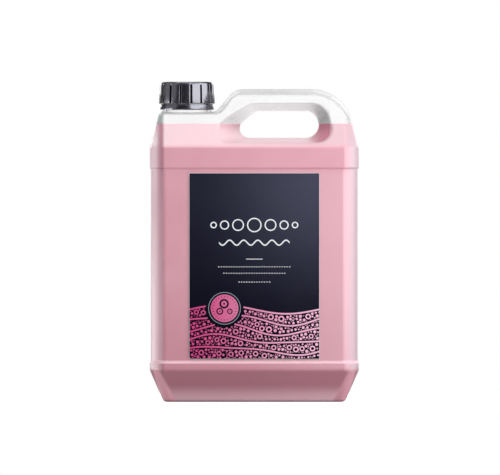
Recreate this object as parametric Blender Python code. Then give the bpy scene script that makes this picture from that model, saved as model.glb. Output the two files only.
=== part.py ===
"""Refill pack of liquid hand soap, built as the real one is.

A five-litre blow-moulded can with a handle through its right shoulder, a ribbed screw cap with a
sealing liner, the tamper band that stays on the neck, a front label and the soap inside.

Metres, +Z up. The can faces -Y, its neck is towards -X and its handle towards +X. The origin is the
centre of the can's footprint, on the plane that it stands on.
"""

import math

import bmesh
import bpy
from mathutils import Matrix, Vector

MM = 0.001

# Can: overall form
BODY_WIDTH = 190 * MM
BODY_DEPTH = 120 * MM
DECK_HEIGHT = 263.6 * MM  # the flat top round the neck
DECK_DEPTH = 63.05 * MM
WALL = 1.0 * MM
TAPER_HEIGHT = 29 * MM  # the base tapers in below this height
TAPER_IN = 12.7 * MM
BASE_ROUND = 4.5 * MM
FOOT_WIDTH = 13 * MM  # flat ring that the can stands on, up to the raised middle of the base
PUSH_UP = 2.5 * MM
BOTTOM_BAND = 7.2 * MM  # full-width band under the sunk label panel
TOP_BAND = 19.4 * MM  # and the one above it
SHOULDER_RISE = 32.3 * MM  # from the top band up to the deck
SIDE_LEAN = math.radians(15.6)  # sides of the shoulder, from the vertical
SHOULDER_HEIGHT = DECK_HEIGHT - SHOULDER_RISE
PANEL_TOP = SHOULDER_HEIGHT - TOP_BAND
PANEL_BOTTOM = TAPER_HEIGHT + BOTTOM_BAND
PANEL_SINK = 1.1 * MM
STEP_HEIGHT = 1.6 * MM
STEP_ROUND = 1.3 * MM
BAND_ROUND = 4 * MM

# Can: upright corners
CORNER_ACROSS = 12.1 * MM
CORNER_DEEP = 18 * MM
CORNER_SWEEP = math.radians(42)
CORNER_BENDS = (0, 0.3, 0.58, 1)  # where the curve's facets meet, along its sweep from the side
CORNER_AT_BASE = 0.52  # size of the corner there, as a share of its size at the panel
CORNER_AT_DECK = 0.28
CORNER_LEAST = 0.12  # and never less than this above the deck

# Can: outline of the shoulder above the deck, and the draft of each stretch from the parting plane
NECK_IN = 33.8 * MM  # from the left side to the middle of the neck
NECK_TO_RISE = 26.9 * MM  # from there to where the outline starts to rise to the handle
NECK_X = NECK_IN - BODY_WIDTH / 2
RISE_START_X = NECK_X + NECK_TO_RISE
HANDLE_RISE = 20.2 * MM
HANDLE_TOP = DECK_HEIGHT + HANDLE_RISE
RISE_ANGLE = math.radians(50.5)
RISE_FOOT_ROUND = 8.7 * MM
RISE_HEAD_ROUND = 16 * MM
HANDLE_END_ROUND = 38.2 * MM
DECK_DRAFT = math.radians(2)
RISE_DRAFT = math.radians(6)
HANDLE_DRAFT = math.radians(13.7)
OUTLINE_CLEAR = 0.3 * MM  # keeps the side of the outline just outside the leaning side wall
OUTLINE_REACH = 43 * MM  # how far to the front and back the outline is cut, past the deck's edges

# Can: grip hole at the parting plane, and the draft of each side of its funnel
RISE_TO_GRIP = 21.3 * MM
GRIP_IN = 36.6 * MM  # from the right side
HANDLE_THICK = 19.4 * MM
GRIP_HEIGHT = 24.4 * MM
GRIP_LEFT = RISE_START_X + RISE_TO_GRIP
GRIP_RIGHT = BODY_WIDTH / 2 - GRIP_IN
GRIP_TOP = HANDLE_TOP - HANDLE_THICK
GRIP_BOTTOM = GRIP_TOP - GRIP_HEIGHT
GRIP_SLANT = math.radians(40)  # its left side, from the horizontal
GRIP_LEFT_ROUND = 8.5 * MM
GRIP_SLANT_ROUND = 12 * MM
GRIP_RIGHT_ROUND = 12 * MM
GRIP_ROUND_GROWTH = 0.5  # how fast the rounds grow, as a share of how far the sides draft out
GRIP_SLANT_DRAFT = math.radians(19)
GRIP_TOP_DRAFT = math.radians(17)
GRIP_RIGHT_DRAFT = math.radians(15.5)
GRIP_FLOOR_DRAFT = math.radians(4.5)

EDGE_ROUND = 2 * MM  # soft edges of the upright corners, the deck, the handle and the grip hole
CREASE_ANGLE = math.radians(24)
FADE_SHARE = 0.85  # how much of a corner's width belongs to the crease that fades into the side wall

# Neck, thread and tamper bead
NECK_FOOT = (NECK_X, 0, DECK_HEIGHT)  # origin of all that turns about the neck; heights count from here
NECK_HEIGHT = 23.5 * MM
NECK_RADIUS = 21 * MM
NECK_WALL = 2 * MM
NECK_ROOT_STEP = 0.9 * MM
NECK_ROOT_FLARE = 1 * MM
NECK_SINK = 3 * MM  # how far the neck and its bore reach down past the deck's outer face
BEAD_PROUD = 2.1 * MM
BEAD_BOTTOM = 3.6 * MM  # above the deck
BEAD_LIP = 0.9 * MM
BEAD_SLOPE = 1.9 * MM
BORE_RADIUS = NECK_RADIUS - NECK_WALL
NECK_ROOT_RADIUS = NECK_RADIUS + NECK_ROOT_STEP
BEAD_RADIUS = NECK_RADIUS + BEAD_PROUD
BEAD_TOP = BEAD_BOTTOM + BEAD_LIP + BEAD_SLOPE
RIM_CHAMFER = 0.7 * MM
PITCH = 4 * MM
THREAD_HEIGHT = 1.35 * MM
THREAD_ROOT_HALF = 0.95 * MM
THREAD_CREST_HALF = 0.4 * MM
THREAD_TURNS = 1.75
THREAD_ABOVE_BEAD = 3.2 * MM
THREAD_START = BEAD_TOP + THREAD_ABOVE_BEAD
THREAD_BITE = 0.5 * MM  # how deep the ridge's root is sunk into its wall
THREAD_FADE = 5  # steps of the turn over which each end of the ridge fades out
THREAD_END = 0.08  # size of the ridge's very ends, as a share of the full ridge

# Cap, liner and tamper band
FIT_GAP = 0.3 * MM
CAP_TOP_THICK = 1.8 * MM
CAP_THREAD_GAP = 0.4 * MM
CAP_WALL = 2.7 * MM
CAP_DRAFT = 1.45 * MM  # how much narrower the cap is at its top
CAP_TOP_ROUND = 2.2 * MM
CAP_ABOVE_BEAD = 0.9 * MM
CAP_LEAD_IN = 0.8 * MM
CAP_INNER_RADIUS = NECK_RADIUS + THREAD_HEIGHT + CAP_THREAD_GAP
CAP_SKIRT_RADIUS = CAP_INNER_RADIUS + CAP_WALL
CAP_TOP_RADIUS = CAP_SKIRT_RADIUS - CAP_DRAFT
CAP_SKIRT_BOTTOM = BEAD_TOP + CAP_ABOVE_BEAD
LINER_THICK = 1.2 * MM
LINER_PLAY = 0.75 * MM  # round the liner, inside the cap
LINER_RADIUS = CAP_INNER_RADIUS - LINER_PLAY
RIB_COUNT = 16
GROOVE_WIDTH = 1.5 * MM  # at the skirt's surface
GROOVE_FLOOR = 0.7  # width of a groove's floor, as a share of its width at the surface
GROOVE_DEPTH = 0.9 * MM
GROOVE_PHASE = math.radians(8.6)  # first groove, measured from the front towards +X
BAND_BOTTOM = 1.6 * MM  # above the deck
BAND_WALL = 1.1 * MM
BAND_LUG_SLOPE = 0.6 * MM  # on top of the lug that hooks under the neck's bead
BRIDGE_GAP = 0.9 * MM  # between the band and the cap's skirt
BRIDGE_COUNT = 8
BRIDGE_WIDTH = 1.2 * MM

# Label and soap
LABEL_WIDTH = 118.2 * MM
LABEL_ABOVE_BAND = 3 * MM
LABEL_BELOW_BAND = 4.1 * MM
LABEL_BOTTOM = PANEL_BOTTOM + LABEL_ABOVE_BAND
LABEL_TOP = PANEL_TOP - LABEL_BELOW_BAND
LABEL_THICK = 0.25 * MM
LABEL_FIELD_HEIGHT = 45 * MM  # mean height of the printed lower field
LABEL_FIELD_SWELL = 4 * MM  # how far its wavy upper edge swings up and down
FILL_DROP = 11 * MM  # from the deck down to the soap's level
FILL_HEIGHT = DECK_HEIGHT - FILL_DROP

TURN_STEPS = 48
PROFILE_STEPS = 4  # facets of each round in a wall's or the cap's section
OUTLINE_STEPS = 8  # facets of each round of the shoulder's outline and the grip hole
WAVE_STEPS = 16
LEAST_ROUND = 0.3 * MM
SMOOTH_ANGLE = math.radians(32)


def material(name, colour, roughness, alpha=1.0):
    made = bpy.data.materials.new(name)
    made.use_nodes = True
    shader = made.node_tree.nodes["Principled BSDF"]
    shader.inputs["Base Color"].default_value = (*colour, 1.0)
    shader.inputs["Roughness"].default_value = roughness
    shader.inputs["Metallic"].default_value = 0.0
    shader.inputs["Alpha"].default_value = alpha
    return made


def added(name, bm, place=(0, 0, 0)):
    """Turn a bmesh into a linked object with outward faces."""
    bmesh.ops.recalc_face_normals(bm, faces=bm.faces)
    mesh = bpy.data.meshes.new(name)
    bm.to_mesh(mesh)
    bm.free()
    made = bpy.data.objects.new(name, mesh)
    made.location = place
    bpy.context.collection.objects.link(made)
    return made


def combine(target, tool, operation):
    """Apply one exact Boolean to the target and use up the tool."""
    step = target.modifiers.new(operation.title(), "BOOLEAN")
    step.operation = operation
    step.solver = "EXACT"
    step.object = tool
    seen = target.evaluated_get(bpy.context.evaluated_depsgraph_get())
    target.data = bpy.data.meshes.new_from_object(seen)
    target.modifiers.clear()
    bpy.data.objects.remove(tool)


def finish(made, look):
    """Give a finished piece its material and smooth shading."""
    made.data.materials.clear()
    made.data.materials.append(look)
    made.data.shade_smooth()
    made.data.set_sharp_from_angle(angle=SMOOTH_ANGLE)


def shifted(path, distances, closed=False):
    """Move each leg of a path to its left by its own distance and meet the legs again."""
    count = len(path)
    legs = count if closed else count - 1
    moved = []
    for i in range(legs):
        start = Vector(path[i])
        along = (Vector(path[(i + 1) % count]) - start).normalized()
        left = Vector((-along.y, along.x))
        moved.append((start + left * distances[i], along, left))
    corners = []
    for i in range(count):
        before = moved[(i - 1) % legs] if closed or i > 0 else None
        after = moved[i % legs] if closed or i < legs else None
        if before is None or after is None:
            foot, along, left = after or before
            corners.append(foot + along * (Vector(path[i]) - foot).dot(along))
            continue
        turn = before[1].x * after[1].y - before[1].y * after[1].x
        if abs(turn) < 1e-6:
            corners.append(after[0])
            continue
        reach = (after[0] - before[0]).dot(after[2]) / before[1].dot(after[2])
        corners.append(before[0] + before[1] * reach)
    return corners


def rounded(path, radii, steps, closed=False):
    """Replace the corners of a path by arcs; two arcs that share a leg are limited by its length."""
    count = len(path)
    reaches = [0.0] * count
    turns = [0.0] * count
    for i in range(count) if closed else range(1, count - 1):
        turns[i] = (path[i] - path[i - 1]).angle(path[(i + 1) % count] - path[i])
        reaches[i] = max(radii[i], 0) * math.tan(turns[i] / 2)
    for i in range(count if closed else count - 1):
        j = (i + 1) % count
        room = 0.96 * (path[j] - path[i]).length
        if reaches[i] + reaches[j] > room:
            share = room / (reaches[i] + reaches[j])
            reaches[i] *= share
            reaches[j] *= share
    points = []
    for i, corner in enumerate(path):
        if reaches[i] <= 0:
            points.append(corner)
            continue
        along = (corner - path[i - 1]).normalized()
        ahead = path[(i + 1) % count] - corner
        side = math.copysign(1, along.x * ahead.y - along.y * ahead.x)
        start = corner - along * reaches[i]
        radius = reaches[i] / math.tan(turns[i] / 2)
        spoke = Vector((along.y, -along.x)) * side * radius
        for k in range(steps + 1):
            turn = Matrix.Rotation(side * turns[i] * k / steps, 2)
            points.append(start - spoke + turn @ spoke)
    return points


def loft(rings):
    """Skin closed rings of equal length and cap both ends."""
    bm = bmesh.new()
    rows = [[bm.verts.new(point) for point in ring] for ring in rings]
    for lower, upper in zip(rows, rows[1:]):
        for i in range(len(lower)):
            j = (i + 1) % len(lower)
            bm.faces.new((lower[i], lower[j], upper[j], upper[i]))
    bm.faces.new(reversed(rows[0]))
    bm.faces.new(rows[-1])
    return bm


def turned(section, steps=TURN_STEPS):
    """Revolve a closed section of (radius, height) points; heights count from the deck."""
    bm = bmesh.new()
    verts = [bm.verts.new((radius, 0, height)) for radius, height in section]
    ring = bm.faces.new(verts)
    edges = list(ring.edges)
    bm.faces.remove(ring)
    bmesh.ops.spin(bm, geom=verts + edges, cent=(0, 0, 0), axis=(0, 0, 1),
                   angle=math.tau, steps=steps, use_merge=True)
    bmesh.ops.remove_doubles(bm, verts=bm.verts, dist=0.01 * MM)
    axis = [edge for edge in bm.edges if not edge.link_faces]
    bmesh.ops.delete(bm, geom=axis, context="EDGES")
    return bm


def corner_scale(height):
    """Size of the upright corners at a height."""
    if height < TAPER_HEIGHT:
        return CORNER_AT_BASE + (1 - CORNER_AT_BASE) * max(height, 0) / TAPER_HEIGHT
    if height > SHOULDER_HEIGHT:
        rise = (height - SHOULDER_HEIGHT) / SHOULDER_RISE
        return max(CORNER_LEAST, 1 - (1 - CORNER_AT_DECK) * rise)
    return 1.0


def wall_profile(half, slope, inset):
    """Half section of the can from the middle of its base to above the handle.

    The slope is how far the shoulder leans in for each unit that it rises.
    """
    foot = half - TAPER_IN
    sink = half - PANEL_SINK
    top = HANDLE_TOP + EDGE_ROUND * 3
    shrink = (1 - CORNER_LEAST) / (1 - CORNER_AT_DECK)
    least = SHOULDER_HEIGHT + SHOULDER_RISE * shrink
    path = [
        (foot - FOOT_WIDTH - PUSH_UP * 3, PUSH_UP),
        (foot - FOOT_WIDTH - PUSH_UP, PUSH_UP),
        (foot - FOOT_WIDTH, 0),
        (foot, 0),
        (half, TAPER_HEIGHT),
        (half, PANEL_BOTTOM - STEP_HEIGHT / 2),
        (sink, PANEL_BOTTOM + STEP_HEIGHT / 2),
        (sink, PANEL_TOP - STEP_HEIGHT / 2),
        (half, PANEL_TOP + STEP_HEIGHT / 2),
        (half, SHOULDER_HEIGHT),
        (half - (least - SHOULDER_HEIGHT) * slope, least),
        (half - (top - SHOULDER_HEIGHT) * slope, top),
    ]
    outside = {3: BASE_ROUND, 4: BAND_ROUND, 5: STEP_ROUND, 8: STEP_ROUND, 9: BAND_ROUND}
    inside = {6: STEP_ROUND, 7: STEP_ROUND}
    radii = [0.0] * len(path)
    for i, radius in outside.items():
        radii[i] = max(radius - inset, LEAST_ROUND)
    for i, radius in inside.items():
        radii[i] = radius + inset
    return rounded(shifted(path, [inset] * (len(path) - 1)), radii, PROFILE_STEPS)


def corner_curve(side, front):
    """Corner from the side wall to the front wall; each wall is a (half size, height) point."""
    across = CORNER_ACROSS * corner_scale(side.y)
    deep = CORNER_DEEP * corner_scale(front.y)
    curve = []
    for share in CORNER_BENDS:
        bend = CORNER_SWEEP * share
        in_x = across * (1 - math.cos(bend)) / (1 - math.cos(CORNER_SWEEP))
        out_y = deep * math.sin(bend) / math.sin(CORNER_SWEEP)
        height = side.y + (front.y - side.y) * share
        curve.append(Vector((side.x - in_x, front.x - deep + out_y, height)))
    return curve


def tank(inset):
    """The can without its handle: rings lofted from the base to above the shoulder."""
    sides = wall_profile(BODY_WIDTH / 2, math.tan(SIDE_LEAN), inset)
    fronts = wall_profile(BODY_DEPTH / 2, (BODY_DEPTH - DECK_DEPTH) / 2 / SHOULDER_RISE, inset)
    rings = []
    for side, front in zip(sides, fronts):
        curve = corner_curve(side, front)
        back = list(reversed(curve))
        ring = [Vector((p.x, p.y, p.z)) for p in curve]
        ring += [Vector((-p.x, p.y, p.z)) for p in back]
        ring += [Vector((-p.x, -p.y, p.z)) for p in curve]
        ring += [Vector((p.x, -p.y, p.z)) for p in back]
        rings.append(ring)
    return added("tank", loft(rings))


def outline_cutter(inset):
    """Everything above the deck, the rise to the handle, the handle's top and its round end."""
    reach = BODY_WIDTH
    lean = math.tan(SIDE_LEAN)
    side_x = BODY_WIDTH / 2 + OUTLINE_CLEAR / math.cos(SIDE_LEAN)
    low = SHOULDER_HEIGHT - TAPER_HEIGHT
    rise_run = HANDLE_RISE / math.tan(RISE_ANGLE)
    path = [
        (side_x + (SHOULDER_HEIGHT - low) * lean, low),
        (side_x - (HANDLE_TOP - SHOULDER_HEIGHT) * lean, HANDLE_TOP),
        (RISE_START_X + rise_run, HANDLE_TOP),
        (RISE_START_X, DECK_HEIGHT),
        (-reach, DECK_HEIGHT),
    ]
    drafts = [0, math.tan(HANDLE_DRAFT), math.tan(RISE_DRAFT), math.tan(DECK_DRAFT)]
    rings = []
    for y in (-OUTLINE_REACH, 0, OUTLINE_REACH):
        moves = [inset + draft * abs(y) for draft in drafts]
        radii = [
            0,
            HANDLE_END_ROUND - (moves[0] + moves[1]) / 2,
            RISE_HEAD_ROUND - (moves[1] + moves[2]) / 2,
            RISE_FOOT_ROUND + (moves[2] + moves[3]) / 2,
            0,
        ]
        chain = rounded(shifted(path, moves), radii, OUTLINE_STEPS)
        sky = [(-reach, HANDLE_TOP + reach), (reach, HANDLE_TOP + reach), (reach, low)]
        rings.append([Vector((p[0], y, p[1])) for p in [*chain, *sky]])
    return added("outline_cutter", loft(rings))


def grip_cutter(inset):
    """The grip hole: narrowest at the parting plane, opening like a funnel to both faces."""
    left = GRIP_LEFT + GRIP_LEFT_ROUND - GRIP_LEFT_ROUND / math.tan(GRIP_SLANT / 2)
    path = [
        (left, GRIP_BOTTOM),
        (GRIP_RIGHT, GRIP_BOTTOM),
        (GRIP_RIGHT, GRIP_TOP),
        (left + GRIP_HEIGHT / math.tan(GRIP_SLANT), GRIP_TOP),
    ]
    rounds = [GRIP_LEFT_ROUND, GRIP_RIGHT_ROUND, GRIP_RIGHT_ROUND, GRIP_SLANT_ROUND]
    angles = (GRIP_FLOOR_DRAFT, GRIP_RIGHT_DRAFT, GRIP_TOP_DRAFT, GRIP_SLANT_DRAFT)
    drafts = [math.tan(angle) for angle in angles]
    depth = BODY_DEPTH / 2 + EDGE_ROUND
    rings = []
    for y in (-depth, 0, depth):
        moves = [inset + draft * abs(y) for draft in drafts]
        radii = [r + GRIP_ROUND_GROWTH * (moves[i - 1] + moves[i]) / 2 for i, r in enumerate(rounds)]
        widened = shifted(path, [-move for move in moves], closed=True)
        loop = rounded(widened, radii, OUTLINE_STEPS, closed=True)
        rings.append([Vector((p.x, y, p.y)) for p in loop])
    return added("grip_cutter", loft(rings))


def runs_out(point):
    """True where the handle's round end fades into the right side wall, past the front crease."""
    if point.x < 0 or point.z < SHOULDER_HEIGHT + BAND_ROUND:
        return False
    side = BODY_WIDTH / 2 - (point.z - SHOULDER_HEIGHT) * math.tan(SIDE_LEAN)
    return point.x > side - FADE_SHARE * CORNER_ACROSS * corner_scale(point.z)


def soften(made, radius, steps):
    """Round the upright creases and the cut edges, but not the parting line inside the grip hole."""
    bm = bmesh.new()
    bm.from_mesh(made.data)
    bmesh.ops.dissolve_limit(bm, angle_limit=math.radians(0.5), verts=bm.verts, edges=bm.edges)
    creases = []
    for edge in bm.edges:
        low = min(vert.co.z for vert in edge.verts)
        out = max(abs(vert.co.y) for vert in edge.verts)
        if low < PUSH_UP + WALL or out < WALL or edge.calc_face_angle(0) < CREASE_ANGLE:
            continue
        if not runs_out((edge.verts[0].co + edge.verts[1].co) / 2):
            creases.append(edge)
    bmesh.ops.bevel(bm, geom=creases, offset=radius, offset_type="OFFSET", segments=steps,
                    profile=0.5, affect="EDGES", clamp_overlap=False, material=-1)
    bm.to_mesh(made.data)
    bm.free()


def can_form(name, inset, steps):
    """Solid form of the can, moved in from its outer surface by the inset."""
    form = tank(inset)
    form.name = name
    combine(form, outline_cutter(inset), "DIFFERENCE")
    combine(form, grip_cutter(inset), "DIFFERENCE")
    soften(form, EDGE_ROUND, steps)
    return form


def thread(root, crest, start, turns):
    """Helical ridge from its root radius to its crest, fading out at both ends."""
    rings = []
    count = round(turns * TURN_STEPS)
    for k in range(count + 1):
        angle = math.tau * k / TURN_STEPS
        height = start + PITCH * k / TURN_STEPS
        grown = min(1, THREAD_END + min(k, count - k) / THREAD_FADE)
        edge = root + (crest - root) * grown
        spread = THREAD_CREST_HALF * grown
        section = [
            (root, height - THREAD_ROOT_HALF * grown),
            (edge, height - spread),
            (edge, height + spread),
            (root, height + THREAD_ROOT_HALF * grown),
        ]
        out = Vector((math.cos(angle), math.sin(angle), 0))
        rings.append([out * radius + Vector((0, 0, z)) for radius, z in section])
    return added("thread", loft(rings), NECK_FOOT)


def bottle(look):
    """Blow-moulded can: one wall all round, open at the neck, with its thread and tamper bead."""
    made = can_form("bottle", 0, 3)
    below = -NECK_SINK
    section = [
        (0, below),
        (NECK_ROOT_RADIUS, below),
        (NECK_ROOT_RADIUS + NECK_ROOT_FLARE, -FIT_GAP),
        (NECK_ROOT_RADIUS, NECK_ROOT_FLARE),
        (NECK_ROOT_RADIUS, BEAD_BOTTOM),
        (BEAD_RADIUS, BEAD_BOTTOM),
        (BEAD_RADIUS, BEAD_BOTTOM + BEAD_LIP),
        (NECK_RADIUS, BEAD_TOP),
        (NECK_RADIUS, NECK_HEIGHT - RIM_CHAMFER),
        (NECK_RADIUS - RIM_CHAMFER, NECK_HEIGHT),
        (0, NECK_HEIGHT),
    ]
    neck = added("neck", turned(section), NECK_FOOT)
    crest = NECK_RADIUS + THREAD_HEIGHT
    ridge = thread(NECK_RADIUS - THREAD_BITE, crest, THREAD_START, THREAD_TURNS)
    combine(neck, ridge, "UNION")
    combine(made, neck, "UNION")
    hollow = can_form("hollow", WALL, 1)
    above = NECK_HEIGHT + WALL
    bore = turned([(0, below), (BORE_RADIUS, below), (BORE_RADIUS, above), (0, above)])
    combine(hollow, added("bore", bore, NECK_FOOT), "UNION")
    combine(made, hollow, "DIFFERENCE")
    finish(made, look)
    return made


def soap(look):
    """The liquid, level with the fill line and just clear of the can's wall."""
    made = can_form("soap", WALL + FIT_GAP, 1)
    bm = bmesh.new()
    bm.from_mesh(made.data)
    cut = bmesh.ops.bisect_plane(bm, geom=[*bm.verts, *bm.edges, *bm.faces], clear_outer=True,
                                 plane_co=(0, 0, FILL_HEIGHT), plane_no=(0, 0, 1))
    rim = [item for item in cut["geom_cut"] if isinstance(item, bmesh.types.BMEdge)]
    bmesh.ops.holes_fill(bm, edges=rim)
    bm.to_mesh(made.data)
    bm.free()
    finish(made, look)
    return made


def cap(look):
    """Ribbed screw cap: drafted skirt with grooves outside and a thread inside."""
    ceiling = NECK_HEIGHT + LINER_THICK + 2 * FIT_GAP
    top = ceiling + CAP_TOP_THICK
    skirt = [(CAP_SKIRT_RADIUS, CAP_SKIRT_BOTTOM), (CAP_TOP_RADIUS, top), (0, top)]
    outside = rounded([Vector(point) for point in skirt], [0, CAP_TOP_ROUND, 0], PROFILE_STEPS)
    inside = [
        (0, ceiling),
        (CAP_INNER_RADIUS, ceiling),
        (CAP_INNER_RADIUS, CAP_SKIRT_BOTTOM + CAP_LEAD_IN),
        (CAP_INNER_RADIUS + CAP_LEAD_IN, CAP_SKIRT_BOTTOM),
    ]
    made = added("cap", turned([*outside, *inside]), NECK_FOOT)
    crest = CAP_INNER_RADIUS - THREAD_HEIGHT
    start = THREAD_START + PITCH / 2
    ridge = thread(CAP_INNER_RADIUS + THREAD_BITE, crest, start, THREAD_TURNS)
    combine(made, ridge, "UNION")
    combine(made, grooves(top - CAP_TOP_ROUND), "DIFFERENCE")
    finish(made, look)
    return made


def grooves(top):
    """Cutters for the narrow grooves between the cap's ribs."""
    bm = bmesh.new()
    bottom = CAP_SKIRT_BOTTOM - CAP_LEAD_IN
    outer = CAP_SKIRT_RADIUS + GROOVE_DEPTH
    for i in range(RIB_COUNT):
        angle = GROOVE_PHASE + math.tau * i / RIB_COUNT
        out = Vector((math.sin(angle), -math.cos(angle), 0))
        across = Vector((math.cos(angle), math.sin(angle), 0)) * GROOVE_WIDTH / 2
        rows = []
        for radius, z in ((CAP_SKIRT_RADIUS, bottom), (CAP_TOP_RADIUS, top)):
            floor = out * (radius - GROOVE_DEPTH) + Vector((0, 0, z))
            mouth = out * outer + Vector((0, 0, z))
            inner = across * GROOVE_FLOOR
            corners = (floor - inner, mouth - across, mouth + across, floor + inner)
            rows.append([bm.verts.new(corner) for corner in corners])
        low, high = rows
        for a in range(4):
            b = (a + 1) % 4
            bm.faces.new((low[a], low[b], high[b], high[a]))
        bm.faces.new(reversed(low))
        bm.faces.new(high)
    return added("grooves", bm, NECK_FOOT)


def liner(look):
    """Foam disc under the cap's top that seals on the neck's rim."""
    low = NECK_HEIGHT + FIT_GAP
    high = low + LINER_THICK
    section = [(0, low), (LINER_RADIUS, low), (LINER_RADIUS, high), (0, high)]
    made = added("cap_liner", turned(section), NECK_FOOT)
    finish(made, look)
    return made


def tamper_band(look):
    """Ring left on the neck once its bridges are broken, held down by the neck's bead."""
    low = BAND_BOTTOM
    high = CAP_SKIRT_BOTTOM - BRIDGE_GAP
    wide = BEAD_RADIUS + FIT_GAP
    outer = wide + BAND_WALL
    lug = NECK_ROOT_RADIUS + FIT_GAP
    section = [
        (lug, low),
        (outer, low),
        (outer, high),
        (wide, high),
        (wide, BEAD_BOTTOM - FIT_GAP),
        (lug, BEAD_BOTTOM - FIT_GAP - BAND_LUG_SLOPE),
    ]
    made = added("tamper_band", turned(section), NECK_FOOT)
    bm = bmesh.new()
    size = Vector((BAND_WALL - FIT_GAP, BRIDGE_WIDTH, 2 * (BRIDGE_GAP - FIT_GAP)))
    for i in range(BRIDGE_COUNT):
        turn = Matrix.Rotation(GROOVE_PHASE + math.tau * (i + 0.25) / BRIDGE_COUNT, 4, "Z")
        place = turn @ Matrix.Translation((wide + BAND_WALL / 2, 0, high)) @ Matrix.Diagonal((*size, 1))
        bmesh.ops.create_cube(bm, size=1, matrix=place)
    combine(made, added("bridge_stubs", bm, NECK_FOOT), "UNION")
    finish(made, look)
    return made


def label(ground, field):
    """Label on the sunk front panel; its lower field is printed up to a wavy edge."""
    back = -(BODY_DEPTH / 2 - PANEL_SINK) - FIT_GAP
    front = back - LABEL_THICK
    half = LABEL_WIDTH / 2
    wave = []
    for k in range(WAVE_STEPS + 1):
        x = -half + LABEL_WIDTH * k / WAVE_STEPS
        swell = LABEL_FIELD_SWELL * math.sin(math.tau * k / WAVE_STEPS)
        wave.append((x, LABEL_BOTTOM + LABEL_FIELD_HEIGHT + swell))
    bm = bmesh.new()
    foot = [bm.verts.new((x, front, LABEL_BOTTOM)) for x in (-half, half)]
    edge = [bm.verts.new((x, front, z)) for x, z in wave]
    head = [bm.verts.new((x, front, LABEL_TOP)) for x in (half, -half)]
    lower = bm.faces.new([*foot, *reversed(edge)])
    lower.material_index = 1
    upper = bm.faces.new([*edge, *head])
    solid = bmesh.ops.extrude_face_region(bm, geom=[lower, upper])
    verts = [item for item in solid["geom"] if isinstance(item, bmesh.types.BMVert)]
    bmesh.ops.translate(bm, verts=verts, vec=(0, back - front, 0))
    made = added("front_label", bm)
    finish(made, ground)
    made.data.materials.append(field)
    return made


def main():
    for old in list(bpy.data.objects):
        bpy.data.objects.remove(old)
    natural = material("natural_plastic", (0.92, 0.93, 0.93), 0.35, 0.4)
    bottle(natural)
    soap(material("pearl_soap", (0.86, 0.42, 0.51), 0.3))
    black = material("black_plastic", (0.02, 0.02, 0.025), 0.3)
    cap(black)
    tamper_band(black)
    liner(material("white_foam", (0.9, 0.9, 0.88), 0.8))
    navy = material("navy_print", (0.02, 0.02, 0.05), 0.45)
    label(navy, material("pink_print", (0.75, 0.2, 0.42), 0.45))


main()
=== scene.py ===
"""Looks of the refill can: finishes, parting line, fine skins of cap and band, and its label.

Metres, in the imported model's frame: +Z up, the can faces -Y. Each piece takes its place and its
size from the solid that it dresses.
"""

import math
import random

import bmesh
import bpy
from mathutils import Matrix, Vector


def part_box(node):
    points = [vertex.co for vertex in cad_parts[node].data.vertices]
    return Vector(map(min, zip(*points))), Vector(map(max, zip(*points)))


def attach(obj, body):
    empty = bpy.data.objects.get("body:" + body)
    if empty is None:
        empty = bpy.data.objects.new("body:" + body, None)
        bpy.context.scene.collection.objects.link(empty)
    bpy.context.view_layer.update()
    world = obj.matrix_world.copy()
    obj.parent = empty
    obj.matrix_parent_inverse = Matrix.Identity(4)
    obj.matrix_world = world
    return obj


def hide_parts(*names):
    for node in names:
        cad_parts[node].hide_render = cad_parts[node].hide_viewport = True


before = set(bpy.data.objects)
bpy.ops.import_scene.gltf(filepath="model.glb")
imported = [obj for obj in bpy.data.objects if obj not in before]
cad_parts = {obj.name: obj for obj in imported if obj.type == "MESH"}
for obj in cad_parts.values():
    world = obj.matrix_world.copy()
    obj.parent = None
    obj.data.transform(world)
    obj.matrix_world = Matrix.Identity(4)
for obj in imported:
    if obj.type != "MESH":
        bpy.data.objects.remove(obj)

MM = 0.001

# The photograph's frame
IMAGE_WIDTH = 500
IMAGE_HEIGHT = 475
PIXEL = 0.909 * MM  # what one pixel spans at the can
CENTRE_PX = 254.3  # the can's centre line
FOOT_PX = 401.6  # the line that the can stands on
CAMERA_DISTANCE = 20.0
CAMERA_RISE = math.radians(0.2)
SENSOR = 36.0

# Studio
LIGHT_AIM = Vector((0, 0, 150 * MM))
AMBIENT = (0.12, 0.12, 0.125)  # the room's light on the can
MIRRORED = (0.04, 0.04, 0.04)  # the dark room behind the camera, as the can's gloss shows it
FLOOR_REACH = 0.8
FLOOR_GAP = 0.05 * MM  # keeps the foot and the floor from sharing one plane
FLOOR_BOUNCE = (0.4, 0.4, 0.41)  # the floor as it lights the can
FLOOR_SHADED = 0.8  # the floor's colour to the camera, on which the shadow falls
FLOOR_GLOW = 0.8
BEHIND = (0.8, 0.98)  # how nearly straight back a mirrored ray goes, from the dark room to white
LIGHTS = (  # name, azimuth and height angle in degrees, distance, size and radiance
    ("key_light", 52, 12, 0.75, (1.3, 0.6), 3.05),
    ("front_light", -15, 50, 0.7, (0.7, 0.35), 1.4),
    ("top_light", 0, 80, 0.6, (0.8, 0.25), 2.6),
    ("left_light", -75, 24, 0.85, (0.9, 0.9), 0.4),
    ("low_left_light", -100, -8, 0.65, (0.8, 0.16), 5.0),
    ("back_left_light", -155, 25, 0.85, (0.6, 0.5), 1.8),
    ("back_right_light", 155, 25, 0.85, (0.6, 0.5), 1.8),
)

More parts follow.
